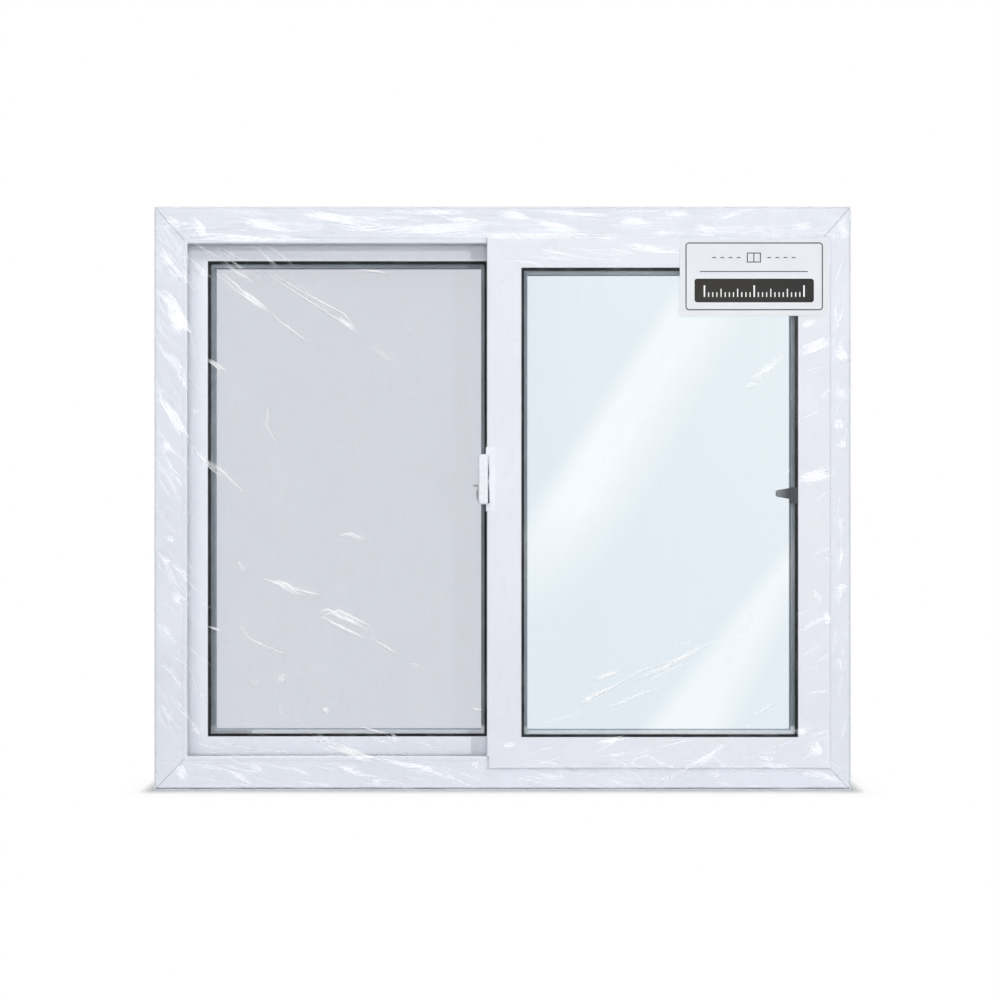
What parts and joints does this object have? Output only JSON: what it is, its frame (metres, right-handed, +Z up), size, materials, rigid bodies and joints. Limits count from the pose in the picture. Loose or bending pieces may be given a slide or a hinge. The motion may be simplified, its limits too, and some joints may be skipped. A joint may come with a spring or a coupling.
{
  "type": "horizontal sliding window",
  "caption": "White plastic sliding window with two double-glazed sashes on two tracks, an insect screen outside, and clear stretch wrapping.",
  "frame": {"origin": "middle of the sill's underside along the window, in the plane of the rear rail's inner side", "axes": "+X along the sill to the front sash's jamb, +Y from the room to the outside, +Z up"},
  "size_m": [1.2, 0.1172, 1.005],
  "materials": {
    "pvc_white": "satin",
    "seal_black": "matt",
    "clear_glass": "polished",
    "spacer_grey": "matt",
    "aluminium": "satin",
    "roller_plastic": "matt",
    "pile_grey": "pile",
    "lock_white": "satin",
    "lock_steel": "satin",
    "lever_dark": "satin",
    "screen_paint": "satin",
    "screen_mesh": "woven",
    "label_paper": "semi gloss",
    "film_clear": "creased"
  },
  "bodies": {
    "root": {"frame_head": "pvc_white", "frame_left_jamb": "pvc_white", "frame_right_jamb": "pvc_white", "frame_sill": "pvc_white", "front_interlock": "pvc_white", "label_card": "label_paper", "left_sash_back_gasket": "seal_black", "left_sash_bottom_rail": "pvc_white", "left_sash_edge_seal": "seal_black", "left_sash_front_gasket": "seal_black", "left_sash_glazing_beads": "pvc_white", "left_sash_inner_pane": "clear_glass", "left_sash_jamb_stile": "pvc_white", "left_sash_meeting_stile": "pvc_white", "left_sash_outer_pane": "clear_glass", "left_sash_pile_seals": "pile_grey", "left_sash_rollers": "roller_plastic", "left_sash_spacer": "spacer_grey", "left_sash_top_rail": "pvc_white", "lock_body": "lock_white", "lock_hook": "lock_steel", "lock_keeper": "lock_steel", "lock_plate": "lock_white", "rear_interlock": "pvc_white", "right_sash_back_gasket": "seal_black", "right_sash_bottom_rail": "pvc_white", "right_sash_edge_seal": "seal_black", "right_sash_front_gasket": "seal_black", "right_sash_glazing_beads": "pvc_white", "right_sash_inner_pane": "clear_glass", "right_sash_jamb_stile": "pvc_white", "right_sash_meeting_stile": "pvc_white", "right_sash_outer_pane": "clear_glass", "right_sash_pile_seals": "pile_grey", "right_sash_rollers": "roller_plastic", "right_sash_spacer": "spacer_grey", "right_sash_top_rail": "pvc_white", "running_strips": "aluminium", "screen_bottom_bar": "screen_paint", "screen_left_bar": "screen_paint", "screen_mesh": "screen_mesh", "screen_right_bar": "screen_paint", "screen_spline": "seal_black", "screen_top_bar": "screen_paint", "side_lever": "lever_dark", "stretch_film": "film_clear"}
  },
  "joints": []
}
